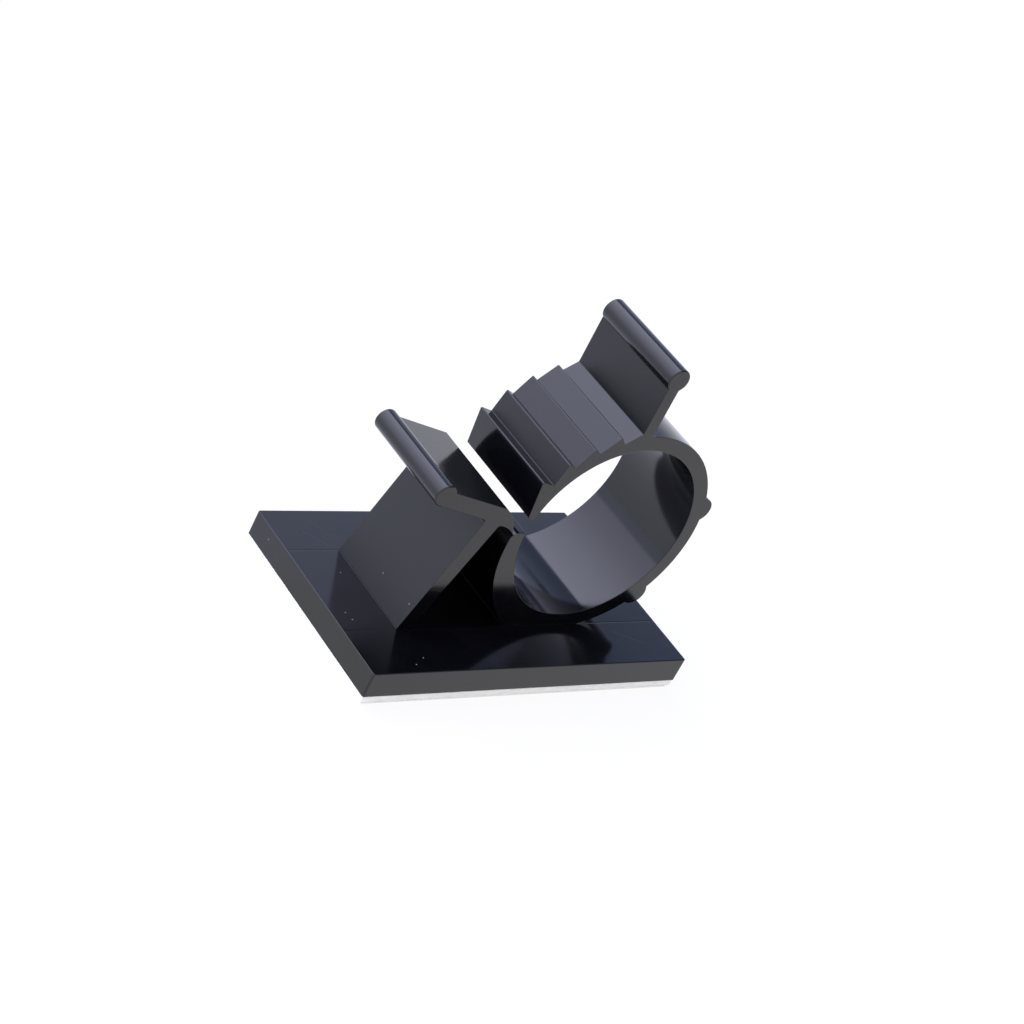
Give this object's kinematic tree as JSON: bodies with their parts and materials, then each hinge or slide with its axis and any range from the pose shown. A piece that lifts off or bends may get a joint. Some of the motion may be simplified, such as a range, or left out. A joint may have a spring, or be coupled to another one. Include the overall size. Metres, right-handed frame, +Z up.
{
  "type": "adhesive cable holder",
  "caption": "Stick-on cable holder: a glossy black nylon plate on white foam tape with a round ring that opens, a toothed strap and a springy hooked leg that latches it.",
  "frame": {"origin": "middle of the underside of the release liner, on the surface the holder stands on", "axes": "+X along the plate, from the latch leg towards the ring; +Y along the cables; +Z up, away from the surface"},
  "size_m": [0.028, 0.0166, 0.0245],
  "materials": {
    "nylon": "glossy black moulded nylon",
    "foam": "white closed-cell foam tape, sticky on both sides",
    "liner": "smooth white release paper"
  },
  "bodies": {
    "root": {"clamp_body": "nylon", "foam_pad": "foam", "release_liner": "liner"}
  },
  "joints": []
}
